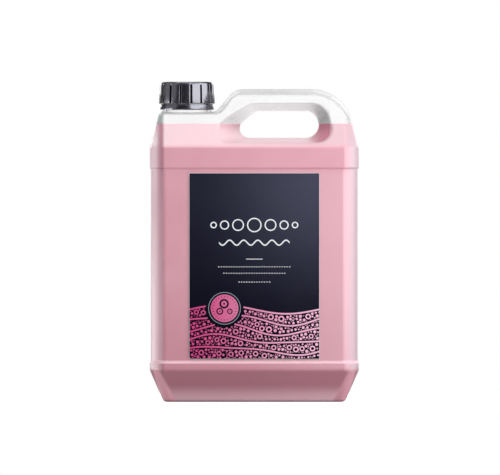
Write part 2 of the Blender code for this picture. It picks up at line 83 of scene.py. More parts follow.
# Can
WELD = 0.005 * MM  # joins up a solid's loose triangles
FLAT = math.radians(0.4)  # triangles that lie this nearly in one plane are one face
SEAM_HEIGHT = 0.25 * MM  # parting line of the mould, all round the can
SEAM_HALF = 0.5 * MM
NECK_KEEP = 27 * MM  # the parting line stops this far from the neck's axis
LEVEL_SOFT = 0.4 * MM  # over which the wall changes from wetted to dry
SOAP_SINK = 0.3 * MM  # refraction brings the soap up to just under the wetted wall's surface
SHOULDER_HEIGHT = 231.3 * MM
TAPER_HEIGHT = 29 * MM
TAPER_LEAN = 0.52  # how far the foot's taper draws in for each unit that it goes down
HALF_DEPTH = 60 * MM  # the can's, at the shoulder's foot
SHOULDER_LEAN = 0.881  # how far the shoulder's front leans in for each unit that it rises
RISE_START = Vector((-34.3 * MM, 263.6 * MM))  # where the outline rises from the deck to the handle
RISE_ANGLE = math.radians(50.5)

# Edges; their angles are in degrees
SHARP_ANGLE = 35  # edges that turn more than this are shaded sharp
SKIN_SHARP_ANGLE = 50  # the same for the fine skins
EASED_ANGLE = 38  # the liner's edges that turn more than this are eased
LINER_EASE = 0.15 * MM
EASED = 0.3  # where the middle of an eased edge lies, as a share of its width

# Places on the can: where the share of a look is still 0, and where it is 1
FUNNEL_DEPTH = (0.5 * MM, 5 * MM)  # the grip's funnel, in from the shoulder's front
FUNNEL_FOOT = (SHOULDER_HEIGHT, SHOULDER_HEIGHT + 2 * MM)
FUNNEL_RISE = (3 * MM, 7 * MM)  # square to the handle's rise
FUNNEL_RIGHT = (71 * MM, 68 * MM)
FUNNEL_TOP = (276 * MM, 274 * MM)
FUNNEL_NEAR = (0, -20 * MM)  # its end towards the neck
FUNNEL_FAR = (46 * MM, 62 * MM)  # its other end
DECK_END = (-81.5 * MM, -84 * MM)  # the empty wall at the deck's outer end, greyed there by painted shade
DECK_EDGE = (20 * MM, 30 * MM)
NECK_FOOT = (265 * MM, 267 * MM)
NECK_SIDE = (-35 * MM, -37 * MM)
LIT_SIDE = (-30 * MM, 90 * MM)  # towards the key light; the soap's painted light and shade follow it
# the shoulder, where the soap is painted paler as the top light falls on it: painted light
SHOULDER_LIGHT_SPAN = (SHOULDER_HEIGHT - 2 * MM, SHOULDER_HEIGHT + 4 * MM)
# over which the soap is painted darker downwards: painted shade
LOW_SHADE_SPAN = (120 * MM, 35 * MM)
PANEL_TOP = (212 * MM, 206 * MM)
CORNER_ACROSS = (80 * MM, 92 * MM)  # the upright corners
CORNER_DEEP = (30 * MM, 50 * MM)
CORNER_HIGH = (170 * MM, 215 * MM)
CREASE_LEFT = (-90 * MM, -84.5 * MM)  # the crease beside the left corners, darkened by painted shade
CREASE_RIGHT = (-81 * MM, -83.5 * MM)
LEDGE_FOOT = (34.6 * MM, 35.6 * MM)  # the small step under the sunk panel, which takes a painted highlight
LEDGE_TOP = (38.4 * MM, 37.4 * MM)
TAPER_TOP = (TAPER_HEIGHT * 1.15, TAPER_HEIGHT * 0.9)
# over which the taper goes from painted floor light at the foot to painted shade above
TAPER_SHADE_RISE = (2 * MM, 17 * MM)
FOOT_ACROSS = (84 * MM, 88 * MM)  # the taper's corners, as they would be without their lean
FOOT_DEEP = (49 * MM, 53 * MM)
CAP_TOP = (-0.5 * MM, -0.1 * MM)  # from the cap's highest point
CLOUD = (0.3, 0.7)  # the part of a noise's range that is used

# Wall: how much it hides of what is behind it, where it is dry and where the soap wets it
DRY_HAZE = 0.025
DRY_CLOUD = 0.03
DRY_ALONG = 0.68  # more of it where the wall is seen along
DRY_STEEPNESS = 2.2
DRY_GRIP_CUT = 0.2  # what of that the grip's funnel lacks
# denser at the grip funnel's ends and the deck's outer end, to carry their painted shade
NEAR_END_HAZE = 0.06
FAR_END_HAZE = 0.2
DECK_END_HAZE = 0.3
NECK_HAZE = 0.2
WET_HAZE = 0.02
WET_CLOUD = 0.02
WET_ALONG = 0.16
WET_STEEPNESS = 6
WET_GRIP_CUT = 0.7

# Gloss
WALL_GLOSS = 0.35
WALL_ROUGHNESS = 0.26
WALL_ROUGH_CLOUD = 0.08
SOAP_GLOSS = 0.6
SOAP_COAT = 0.7
SOAP_GRIP_CUT = 0.6
SOAP_ROUGHNESS = 0.42
SOAP_ROUGH_SWIRL = 0.06
SOAP_ROUGH_FAR_END = 0.5
CAP_COAT = 0.8
CAP_TOP_CUT = 0.6
CAP_TOP_ROUGHNESS = 0.16
FILM_GLOSS = 0.18
GROOVE_GLOSS = 0.04
BLACK_IOR = 1.8

# Colours of wall and soap; a pair goes from its first to its second
WALL_DRY = ((0.90, 0.915, 0.91), (0.48, 0.50, 0.495))  # as it is faced, as it is seen along
# painted correction of light: cyan and pale to cancel the pink light that the soap bounces into the
# grip
WALL_GRIP = (0.84, 0.94, 0.92)
# painted shade at the grip funnel's ends and the deck's outer end
WALL_NEAR_END_SHADE = (0.62, 0.68, 0.67)
WALL_FAR_END_SHADE = (0.40, 0.46, 0.45)
WALL_WET = (0.92, 0.94, 0.94)
SOAP = ((0.725, 0.32, 0.395), (0.755, 0.35, 0.425))  # the two shades of its swirls
# painted shade: the soap darker low on the can
SOAP_LOW_SHADE = (0.66, 0.265, 0.335)
# painted light on the sunk panel's side towards the key light
SOAP_PANEL_LIGHT = (0.77, 0.47, 0.54)
PANEL_LIGHT_SHARE = 0.42
# painted light on the shoulder, which faces the top light
SOAP_SHOULDER_LIGHT = ((0.78, 0.515, 0.565), (0.67, 0.41, 0.465))  # left, right
# painted shade at the far end of the grip's funnel
SOAP_FAR_END_SHADE = (0.56, 0.17, 0.25)
# painted light on the left corners, brightest above the shoulder; a painted sheen on the right ones
SOAP_CORNER_LEFT_LIGHT = ((0.74, 0.48, 0.54), (0.88, 0.62, 0.68))  # low, high
SOAP_CORNER_SHOULDER_LIGHT = (0.97, 0.82, 0.87)
SOAP_CORNER_RIGHT_SHEEN = (0.62, 0.46, 0.51)
# painted shade in the crease beside the left corners
SOAP_CREASE_SHADE = (0.46, 0.155, 0.225)
CREASE_SHADE_SHARE = 0.9
# painted highlight on the small step under the sunk panel
SOAP_LEDGE_HIGHLIGHT = (0.88, 0.53, 0.61)
SOAP_TAPER_LIGHT_AND_SHADE = ((0.84, 0.5, 0.57), (0.46, 0.16, 0.215))  # low, high: painted light from the floor at the foot, painted shade at the taper's top
SOAP_FOOT_CORNER_LIGHT = ((0.93, 0.45, 0.53), (0.68, 0.30, 0.37))  # left, right: painted light on the taper's corners

# Other colours
BLACK = (0.008, 0.008, 0.012)
BLACK_TINT = (0.84, 0.84, 1.0)  # of its gloss
# painted shade in the cap's grooves and on the skirt's lower rim
GROOVE_SHADE_BLACK = (0.004, 0.004, 0.008)
FOAM = (0.86, 0.86, 0.83)
WHITE_INK = (0.84, 0.86, 0.88)
PALE_INK = (0.3, 0.36, 0.4)
# navy ink, darkest at the lower left and lighter up and to the right: painted light
NAVY_INK_AND_LIGHT = ((0.0012, 0.0012, 0.009), (0.058, 0.060, 0.095))
NAVY_LIGHT_ACROSS = 0.73  # how much of its change upwards also goes across
NAVY_LIGHT_STEEPNESS = 1.2
PINK_INK = ((0.66, 0.075, 0.25), (0.9, 0.5, 0.66))

# Cap: sizes of the solid's own cap, finer than its facets
RIB_COUNT = 16
RIB_STEPS = 16  # round each rib
GROOVE_PHASE = math.radians(8.6)  # first groove, from the front towards +X
GROOVE_HALF = 0.78 * MM
GROOVE_FLOOR = 0.55 * MM  # half the width of its floor
GROOVE_DEPTH = 0.9 * MM
GROOVE_END = 2.9 * MM  # from the cap's top down to the grooves' ends
GROOVE_END_SLOPE = 0.3 * MM
CAP_DRAFT = 0.8 * MM  # how much narrower the skirt is at its top
CAP_LEAN = math.radians(12)  # of the rim above the grooves
CAP_ROUND = 1.2 * MM
CAP_WALL = 1.9 * MM  # from the skirt's surface in to its lead-in
CAP_JOIN = 0.1 * MM  # width of the strip that joins the fine skin to the lead-in
CAP_TOP_SKIN = 1 * MM  # the solid's faces that reach this near to the cap's top are its outer ones
CAP_RIM_ROUND = 0.35 * MM
ROUND_STEPS = 8

# Tamper band: section of the solid's own band, and the torn web that closes the gap under the cap
BAND_TALL = 4.8 * MM
BAND_WALL = 1.1 * MM
BAND_LUG = 2.6 * MM  # how far the lug reaches in from the band's outer face
BAND_LUG_TALL = 1.1 * MM
BAND_LUG_SLOPE = 0.6 * MM
BAND_EDGE = 0.3 * MM
WEB_INSET = 0.35 * MM
WEB_WALL = 0.5 * MM
BAND_STEPS = 192

# Label: heights are above its lower edge
EDGE_BORDER = 0.35 * MM  # bare white edge of the film
INK = 0.03 * MM  # from one printed layer to the next
INK_SHARE = 0.9  # of that, what a layer is thick
FIELD_HEIGHT = 45 * MM
FIELD_SWELL = 4 * MM
WAVE_STEP = 9.2 * MM
WAVE_HALF = 0.75 * MM
WAVE_LOWEST = WAVE_HALF * 1.5  # above the film's bare edge
WAVE_SWELL = 1.8 * MM
WAVE_TURN = 5  # of a wave's swing, in radians over half the field
WAVE_SHIFT = 1.7  # from one wave's swing to the next
WAVE_STEPS = 72
BUBBLE_SIZES = (  # tries, least and greatest radius
    (260, 2.2 * MM, 3.0 * MM),
    (1600, 1.1 * MM, 1.5 * MM),
    (3500, 0.75 * MM, 1.0 * MM),
    (9000, 0.42 * MM, 0.65 * MM),
)
BUBBLE_SEED = 5
BUBBLE_GAP = 0.42 * MM
RING_LEAST = 1.5 * MM  # larger bubbles are drawn as rings
RING_SHARE = 0.52  # hole of a ring, as a share of its radius
BADGE_X = -27 * MM
BADGE_SINK = 3 * MM
BADGE_RADIUS = 12.6 * MM
BADGE_CLEAR = 4.6 * MM
BADGE_LINE_AWAY = 2.1 * MM
BADGE_LINE = 0.55 * MM
BADGE_BUBBLES = (  # direction in degrees, distance and radius as shares of the badge's radius
    (95, 0.33, 0.34),
    (212, 0.4, 0.25),
    (330, 0.44, 0.2),
)
BADGE_BUBBLE_STROKE = 0.36  # shares of a bubble's radius
BADGE_BUBBLE_DOT = 0.2
BADGE_DOTS = 24
BADGE_DOTS_AWAY = 0.84  # share of the badge's radius
BADGE_DOT_RADIUS = 0.45 * MM
ROW_HEIGHT = 121.5 * MM
ROW_RADII = (3, 4.2, 5.4, 6.6, 5.4, 4.2, 3)  # in millimetres
ROW_GAP = 2.7 * MM
ROW_STROKE = 1.1 * MM
SWING_HEIGHT = 105.5 * MM
SWING_HALF_WIDTH = 32 * MM
SWING_SWELL = 2.3 * MM
SWING_HALF = 0.6 * MM
SWING_WAVES = 5
RULE_HEIGHT = 90.6 * MM
RULE_HALF_WIDTH = 7.5 * MM
RULE_HALF = 0.3 * MM
DOT_ROWS = ((83.6 * MM, 29), (77.8 * MM, 25), (69.8 * MM, 13))
DOT_STEP = 2.3 * MM
DOT_RADIUS = 0.5 * MM
TURN = 48  # corners of a large printed circle
SMALL_TURN = 14


class Value:
    """One output of a material's nodes, open to arithmetic."""

    def __init__(self, look, socket):
        self.look = look
        self.socket = socket

    def math(self, operation, *inputs):
        return self.look.node("Math", dict(enumerate(inputs)), operation=operation)

    def __add__(self, other):
        return self.math("ADD", self, other)

    def __mul__(self, other):
        return self.math("MULTIPLY", self, other)

    def __sub__(self, other):
        return self.math("SUBTRACT", self, other)

    def __rsub__(self, other):
        return self.math("SUBTRACT", other, self)

    def __pow__(self, other):
        return self.math("POWER", self, other)

    def ramp(self, low, high, to_low=0.0, to_high=1.0):
        """Smooth step from one range to another."""
        inputs = {0: self, 1: low, 2: high, 3: to_low, 4: to_high}
        return self.look.node("MapRange", inputs, interpolation_type="SMOOTHSTEP")


class Look:
    """A material on one Principled shader."""

    def __init__(self, name, **constants):
        self.made = bpy.data.materials.new(name)
        self.made.use_nodes = True
        self.tree = self.made.node_tree
        self.shader = self.tree.nodes["Principled BSDF"]
        for key, value in constants.items():
            self.set(key.replace("_", " ").title().replace("Ior", "IOR"), value)

    def feed(self, socket, value):
        if isinstance(value, Value):
            self.tree.links.new(value.socket, socket)
        elif isinstance(value, tuple):
            socket.default_value = (*value, 1.0)
        else:
            socket.default_value = value

    def node(self, kind, inputs=None, output=0, **settings):
        """Add a node, feed its inputs by name or place, and give one of its outputs."""
        made = self.tree.nodes.new("ShaderNode" + kind)
        for key, value in settings.items():
            setattr(made, key, value)
        for key, value in (inputs or {}).items():
            self.feed(made.inputs[key], value)
        return Value(self, made.outputs[output])

    def set(self, name, value):
        self.feed(self.shader.inputs[name], value)

    def gloss(self, level):
        self.set("Specular IOR Level", level)

    def place(self):
        return self.node("TexCoord", output="Object")

    def axis(self, name):
        return self.node("SeparateXYZ", {0: self.place()}, output=name)

    def away(self, name):
        """Distance from the middle along an axis."""
        place = self.axis(name)
        return place.math("ABSOLUTE", place)

    def cloud(self, scale, detail=2.0, distortion=0.0, between=(0.0, 1.0)):
        """Soft clouds, from one value to another."""
        return self.noise(scale, detail, distortion).ramp(*CLOUD, *between)

    def noise(self, scale, detail=2.0, distortion=0.0):
        return self.node("TexNoise", {"Vector": self.place(), "Scale": scale, "Detail": detail,
                                      "Distortion": distortion})

    def mix(self, share, first, second):
        return self.node("Mix", {0: share, 6: first, 7: second}, output=2, data_type="RGBA")

    def layered(self, colour, *layers):
        """A colour with others laid over it, each by its share."""
        for share, other in layers:
            colour = self.mix(share, colour, other)
        return colour

    def bump(self, height, strength, distance):
        inputs = {"Height": height, "Strength": strength, "Distance": distance}
        self.set("Normal", self.node("Bump", inputs))


def in_grip(look):
    """Where the surface is the grip's funnel: all of it, the end towards the neck, the far end."""
    across = look.axis("X")
    height = look.axis("Z")
    front = HALF_DEPTH - (height - SHOULDER_HEIGHT) * SHOULDER_LEAN
    deep = (front - look.away("Y")).ramp(*FUNNEL_DEPTH) * height.ramp(*FUNNEL_FOOT)
    along = (across - RISE_START.x) * math.sin(RISE_ANGLE)
    under_rise = (along - (height - RISE_START.y) * math.cos(RISE_ANGLE)).ramp(*FUNNEL_RISE)
    inside = deep * under_rise * across.ramp(*FUNNEL_RIGHT) * height.ramp(*FUNNEL_TOP)
    return inside, inside * across.ramp(*FUNNEL_NEAR), inside * across.ramp(*FUNNEL_FAR)


def natural_plastic(level):
    """Milky polyethylene: clear where the soap wets it, and a dense grey where it is seen along;
    painted shade greys the grip funnel's ends and the deck's outer end.
    """
    look = Look("natural_plastic")
    look.gloss(WALL_GLOSS)
    across = look.axis("X")
    height = look.axis("Z")
    along = look.node("LayerWeight", {"Blend": 0.5}, output="Facing")
    cloud = look.cloud(scale=22, detail=3)
    dry = height.ramp(level - LEVEL_SOFT, level + LEVEL_SOFT)
    grip, near_end, far_end = in_grip(look)
    deck_end = across.ramp(*DECK_END) * look.away("Y").ramp(*DECK_EDGE)
    neck = height.ramp(*NECK_FOOT) * across.ramp(*NECK_SIDE)
    dry_haze = cloud * DRY_CLOUD + DRY_HAZE
    dry_haze += along ** DRY_STEEPNESS * DRY_ALONG * (1 - grip * DRY_GRIP_CUT)
    # the haze carries painted shade at the funnel's ends and the deck's outer end
    dry_haze += near_end * NEAR_END_HAZE + far_end * FAR_END_HAZE
    dry_haze += deck_end * DECK_END_HAZE + neck * NECK_HAZE
    wet_haze = cloud * WET_CLOUD + WET_HAZE + along ** WET_STEEPNESS * WET_ALONG
    wet_haze *= 1 - grip * WET_GRIP_CUT
    look.set("Alpha", dry_haze * dry + wet_haze * (1 - dry))
    grey = look.layered(
        look.mix(along ** 2, *WALL_DRY),
        # painted correction of the soap's pink bounce light in the funnel
        (grip, WALL_GRIP),
        # painted shade at the funnel's ends and the deck's outer end
        (near_end, WALL_NEAR_END_SHADE),
        (far_end + deck_end, WALL_FAR_END_SHADE),
    )
    look.set("Base Color", look.mix(dry, WALL_WET, grey))
    look.set("Roughness", cloud * WALL_ROUGH_CLOUD + WALL_ROUGHNESS)
    look.bump(look.noise(scale=300), strength=0.08, distance=0.2 * MM)
    return look.made


def pearl_soap():
    """Pearly pink soap with slow swirls, glossy behind its wetted wall, with painted light and shade
    laid over it.
    """
    look = Look("pearl_soap", coat_roughness=0.4)
    look.gloss(SOAP_GLOSS)
    across = look.axis("X")
    height = look.axis("Z")
    lit_side = across.ramp(*LIT_SIDE)
    shoulder_light = height.ramp(*SHOULDER_LIGHT_SPAN)
    swirl = look.cloud(scale=14, detail=4, distortion=1.4)
    grip, _, far_end = in_grip(look)
    corner = look.away("X").ramp(*CORNER_ACROSS) * look.away("Y").ramp(*CORNER_DEEP)
    # painted light on the left corners
    corner_left_light = look.mix(height.ramp(*CORNER_HIGH), *SOAP_CORNER_LEFT_LIGHT)
    corner_left_light = look.mix(shoulder_light, corner_left_light, SOAP_CORNER_SHOULDER_LIGHT)
    # where painted shade darkens the crease beside the left corners
    crease = across.ramp(*CREASE_LEFT) * across.ramp(*CREASE_RIGHT)
    ledge_highlight = height.ramp(*LEDGE_FOOT) * height.ramp(*LEDGE_TOP)
    upper = look.layered(
        look.mix(swirl, *SOAP),
        # painted shade, darker low on the can
        (height.ramp(*LOW_SHADE_SPAN), SOAP_LOW_SHADE),
        # painted light on the panel's side towards the key light
        (lit_side * height.ramp(*PANEL_TOP) * PANEL_LIGHT_SHARE, SOAP_PANEL_LIGHT),
        # painted light on the shoulder, less of it on the right
        (shoulder_light, look.mix(lit_side, *SOAP_SHOULDER_LIGHT)),
        # painted shade at the grip funnel's far end
        (far_end, SOAP_FAR_END_SHADE),
        # painted light on the left corners and a painted sheen on the right ones
        (corner, look.mix(lit_side, corner_left_light, SOAP_CORNER_RIGHT_SHEEN)),
        # painted shade in the left crease
        (crease * CREASE_SHADE_SHARE, SOAP_CREASE_SHADE),
        # painted highlight on the step
        (ledge_highlight, SOAP_LEDGE_HIGHLIGHT),
    )
    drawn_in = (TAPER_HEIGHT - height) * TAPER_LEAN
    # painted light on the taper's corners
    foot_corner_light = ((look.away("X") + drawn_in).ramp(*FOOT_ACROSS)
                   * (look.away("Y") + drawn_in).ramp(*FOOT_DEEP))
    # painted light at the foot and painted shade at the taper's top
    taper = look.layered(look.mix(height.ramp(*TAPER_SHADE_RISE), *SOAP_TAPER_LIGHT_AND_SHADE),
                         (foot_corner_light, look.mix(lit_side, *SOAP_FOOT_CORNER_LIGHT)))
    look.set("Base Color", look.mix(height.ramp(*TAPER_TOP), upper, taper))
    look.set("Coat Weight", SOAP_COAT - grip * SOAP_GRIP_CUT)
    look.set("Roughness", swirl * SOAP_ROUGH_SWIRL + SOAP_ROUGHNESS + far_end * SOAP_ROUGH_FAR_END)
    return look.made


def black_plastic():
    """Black moulding with a soft gloss and a very fine grain, duller on the cap's top."""
    look = Look("black_plastic", base_color=BLACK, specular_tint=BLACK_TINT,
                coat_roughness=0.15, ior=BLACK_IOR, coat_ior=BLACK_IOR)
    look.gloss(1.0)
    top = (look.axis("Z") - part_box("cap")[1].z).ramp(*CAP_TOP)
    grain = look.cloud(scale=60, detail=3, between=(0.2, 0.26))
    look.set("Coat Weight", CAP_COAT - top * CAP_TOP_CUT)
    look.set("Roughness", grain + top * CAP_TOP_ROUGHNESS)
    look.bump(look.noise(scale=1200), strength=0.05, distance=0.05 * MM)
    return look.made


def groove_shade_black():
    """Painted shade: the same black, darker and almost without gloss, in the grooves and on the
    skirt's lower rim where no light gets in.
    """
    look = Look("groove_shade_black", base_color=GROOVE_SHADE_BLACK)
    look.gloss(GROOVE_GLOSS)
    look.set("Roughness", look.cloud(scale=60, detail=3, between=(0.5, 0.6)))
    return look.made


def white_foam():
    """Matt closed-cell foam with a fine pitted surface."""
    look = Look("white_foam", base_color=FOAM)
    look.set("Roughness", look.cloud(scale=200, between=(0.8, 0.95)))
    look.bump(look.noise(scale=900, detail=3), strength=0.4, distance=0.2 * MM)
    return look.made


def film(name, *colours, across=0.0):
    """Satin printed film; a second colour comes in to the right, or upwards and partly across, which
    on the navy is painted light.
    """
    look = Look(name)
    look.gloss(FILM_GLOSS)
    if len(colours) == 2:
        low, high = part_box("front_label")
        share = look.axis("X").ramp(low.x, high.x)
        if across:
            rise = look.axis("Z").ramp(low.z, high.z) ** NAVY_LIGHT_STEEPNESS
            share = (share * across + (1 - across)) * rise
        look.set("Base Color", look.mix(share, *colours))
    else:
        worn = look.cloud(scale=40, between=(0.96, 1.0))
        shades = [tuple(channel * level for channel in colours[0]) for level in (0.94, 1)]
        look.set("Base Color", look.mix(worn, *shades))
    look.set("Roughness", look.cloud(scale=30, detail=3, between=(0.2, 0.26)))
    look.bump(look.noise(scale=55), strength=0.05, distance=0.3 * MM)
    return look.made


def piece(name, bm, body, looks, sharp_angle=SHARP_ANGLE):
    """Finish a bmesh as a piece that rides on a body."""
    mesh = bpy.data.meshes.new(name)
    bm.to_mesh(mesh)
    bm.free()
    for look in looks:
        mesh.materials.append(look)
    mesh.shade_smooth()
    mesh.set_sharp_from_angle(angle=math.radians(sharp_angle))
    made = bpy.data.objects.new(name, mesh)
    bpy.context.collection.objects.link(made)
    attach(made, body)
    return made


def copied(node):
    """A bmesh of a solid, with its loose triangles joined up into flat faces."""
    bm = bmesh.new()
    bm.from_mesh(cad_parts[node].data)
    bmesh.ops.remove_doubles(bm, verts=bm.verts, dist=WELD)
    bmesh.ops.dissolve_limit(bm, angle_limit=FLAT, verts=bm.verts, edges=bm.edges)
    for face in bm.faces:
        face.material_index = 0
    return bm


def even_shading(made):
    """Let the large faces stay flat and only the rounds between them turn."""
    step = made.modifiers.new("even_shading", "WEIGHTED_NORMAL")
    step.keep_sharp = True


def outer_skin(bm):
    """Vertices of the can's outer surface, found by a walk from its foot that stops at the neck."""
    low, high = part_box("cap")
    neck = (low + high) / 2

    def near_neck(vert):
        off = Vector((vert.co.x - neck.x, vert.co.y - neck.y))
        return off.length < NECK_KEEP and vert.co.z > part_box("soap")[1].z

    bm.verts.ensure_lookup_table()
    foot = min(bm.verts, key=lambda vert: vert.co.z)
    seen = {foot}
    edge = [foot]
    while edge:
        vert = edge.pop()
        for link in vert.link_edges:
            other = link.other_vert(vert)
            if other not in seen and not near_neck(other):
                seen.add(other)
                edge.append(other)
    return seen


def can(look):
    """The can, with the fine ridge between its mould's halves, round outline and grip hole."""
    bm = copied("bottle")
    low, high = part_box("bottle")
    for y in (-SEAM_HALF, 0, SEAM_HALF):
        bmesh.ops.bisect_plane(bm, geom=[*bm.verts, *bm.edges, *bm.faces], dist=WELD,
                               plane_co=(0, y, 0), plane_no=(0, 1, 0))
    bm.normal_update()
    crest = [vert for vert in outer_skin(bm) if abs(vert.co.y) < WELD]
    for vert in crest:
        place = vert.co + Vector((vert.normal.x, 0, vert.normal.z)).normalized() * SEAM_HEIGHT
        vert.co.x = min(max(place.x, low.x), high.x)
        vert.co.z = max(place.z, low.z)
    made = piece("can_shell", bm, "bottle", [look])
    even_shading(made)
    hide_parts("bottle")


def soap(look, level):
    """The soap as the wetted wall shows it: the can's own outer form up to the fill line."""
    bm = copied("bottle")
    bmesh.ops.bisect_plane(bm, geom=[*bm.verts, *bm.edges, *bm.faces], dist=WELD, clear_outer=True,
                           plane_co=(0, 0, level), plane_no=(0, 0, 1))
    skin = outer_skin(bm)
    bmesh.ops.delete(bm, geom=[vert for vert in bm.verts if vert not in skin], context="VERTS")
    bm.normal_update()
    rim = {vert for vert in bm.verts if vert.is_boundary}
    for vert in bm.verts:
        vert.co -= vert.normal * SOAP_SINK
        if vert in rim:
            vert.co.z = level
    bmesh.ops.holes_fill(bm, edges=[edge for edge in bm.edges if edge.is_boundary])
    made = piece("soap_fill", bm, "bottle", [look])
    for edge in made.data.edges:
        if all(made.data.vertices[end].co.z > level - WELD for end in edge.vertices):
            edge.use_edge_sharp = True
    even_shading(made)
    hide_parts("soap")


def cap_profile(wide, tall):
    """Outline of the cap from its lead-in, round the skirt's rim and up to the middle of its top."""
    above = tall - GROOVE_END
    edge_height = tall - CAP_ROUND * (1 - math.sin(CAP_LEAN))
    edge = wide - CAP_DRAFT * above / tall - (edge_height - above) * math.tan(CAP_LEAN)
    cut = CAP_RIM_ROUND * EASED
    points = [(wide - CAP_WALL + CAP_JOIN, 0), (wide - CAP_RIM_ROUND, 0), (wide - cut, cut)]
    points += [(wide - CAP_DRAFT * z / tall, z)
               for z in (CAP_RIM_ROUND, tall / 2, above - GROOVE_END_SLOPE, above)]
    for k in range(ROUND_STEPS + 1):
        turn = CAP_LEAN + (math.pi / 2 - CAP_LEAN) * k / ROUND_STEPS
        points.append((edge - CAP_ROUND * (math.cos(CAP_LEAN) - math.cos(turn)),
                       tall - CAP_ROUND * (1 - math.sin(turn))))
    points.append((0, tall))
    return points


def cap(looks):
    """The cap with a fine skin for the solid's outer facets; inside it keeps the solid's thread."""
    low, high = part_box("cap")
    foot = Vector(((low.x + high.x) / 2, (low.y + high.y) / 2, low.z))
    wide = (high.x - low.x) / 2
    tall = high.z - low.z
    bm = copied("cap")
    bmesh.ops.translate(bm, verts=bm.verts, vec=-foot)
    lip = wide - CAP_WALL + CAP_JOIN / 2
    lost = {vert for vert in bm.verts if vert.co.xy.length > lip or vert.co.z > tall - CAP_TOP_SKIN}
    outer = [face for face in bm.faces if lost.intersection(face.verts)]
    bmesh.ops.delete(bm, geom=outer, context="FACES")

    chain = [bm.verts.new((0, -radius, z)) for radius, z in cap_profile(wide, tall)]
    links = [bm.edges.new(pair) for pair in zip(chain, chain[1:])]
    bmesh.ops.spin(bm, geom=chain + links, cent=(0, 0, 0), axis=(0, 0, 1), angle=math.tau,
                   steps=RIB_COUNT * RIB_STEPS, use_merge=True)
    bmesh.ops.remove_doubles(bm, verts=bm.verts, dist=WELD)
    rim = [edge for edge in bm.edges if edge.is_boundary]
    bmesh.ops.bridge_loops(bm, edges=rim)
    sunk = {vert for vert in bm.verts if vert.co.xy.length > lip and groove(vert, tall)}
    # the grooves and the skirt's lower rim take the black of painted shade
    for face in bm.faces:
        low_rim = max(vert.co.z for vert in face.verts) < CAP_RIM_ROUND
        face.material_index = int(low_rim or any(vert in sunk for vert in face.verts))
    bmesh.ops.recalc_face_normals(bm, faces=bm.faces)
    bmesh.ops.translate(bm, verts=bm.verts, vec=foot)
    made = piece("screw_cap", bm, "cap", looks, SKIN_SHARP_ANGLE)
    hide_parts("cap")


def groove(vert, tall):
    """Draw the skirt's columns of vertices to the nearest groove, and sink those on its floor."""
    half_rib = math.pi / RIB_COUNT
    radius = vert.co.xy.length
    angle = math.atan2(vert.co.x, -vert.co.y) - GROOVE_PHASE
    rib = round(angle / half_rib / 2)
    share = angle / half_rib - rib * 2
    column = round(abs(share) * RIB_STEPS / 2)
    lip = GROOVE_HALF / radius
    off = (0, GROOVE_FLOOR / radius, lip)[column] if column < 3 else (
        lip + (half_rib - lip) * (column - 2) / (RIB_STEPS / 2 - 2))
    on_floor = column < 2 and vert.co.z < tall - GROOVE_END - GROOVE_END_SLOPE / 2
    angle = GROOVE_PHASE + rib * half_rib * 2 + math.copysign(off, share)
    out = Vector((math.sin(angle), -math.cos(angle))) * (radius - GROOVE_DEPTH * on_floor)
    vert.co.xy = out
    return on_floor


def band(look):
    """The tamper band's ring, with the torn web that held it to the cap."""
    low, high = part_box("tamper_band")
    foot = Vector(((low.x + high.x) / 2, (low.y + high.y) / 2, low.z))
    wide = (high.x - low.x) / 2
    bead = wide - BAND_WALL
    lug = wide - BAND_LUG
    web = wide - WEB_INSET
    tall = high.z - low.z
    cut = BAND_EDGE * EASED
    section = [
        (lug, 0), (wide - BAND_EDGE, 0), (wide - cut, cut), (wide, BAND_EDGE),
        (wide, BAND_TALL - BAND_EDGE), (wide - cut, BAND_TALL - cut),
        (web, BAND_TALL), (web, tall), (web - WEB_WALL, tall), (web - WEB_WALL, BAND_TALL),
        (bead, BAND_TALL), (bead, BAND_LUG_TALL + BAND_LUG_SLOPE), (lug, BAND_LUG_TALL),
    ]
    bm = bmesh.new()
    chain = [bm.verts.new((0, -radius, z)) for radius, z in section]
    links = [bm.edges.new(pair) for pair in zip(chain, chain[1:] + chain[:1])]
    bmesh.ops.spin(bm, geom=chain + links, cent=(0, 0, 0), axis=(0, 0, 1), angle=math.tau,
                   steps=BAND_STEPS, use_merge=True)
    bmesh.ops.remove_doubles(bm, verts=bm.verts, dist=WELD)
    bmesh.ops.recalc_face_normals(bm, faces=bm.faces)
    bmesh.ops.translate(bm, verts=bm.verts, vec=foot)
    made = piece("band_ring", bm, "bottle", [look], SKIN_SHARP_ANGLE)
    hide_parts("tamper_band")


def liner(look):
    """The sealing disc with its sharp edges eased."""
    made = piece("foam_liner", copied("cap_liner"), "liner", [look])
    edge = made.modifiers.new("eased", "BEVEL")
    edge.width = LINER_EASE
    edge.segments = 2
    edge.limit_method = "ANGLE"
    edge.angle_limit = math.radians(EASED_ANGLE)
    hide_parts("cap_liner")


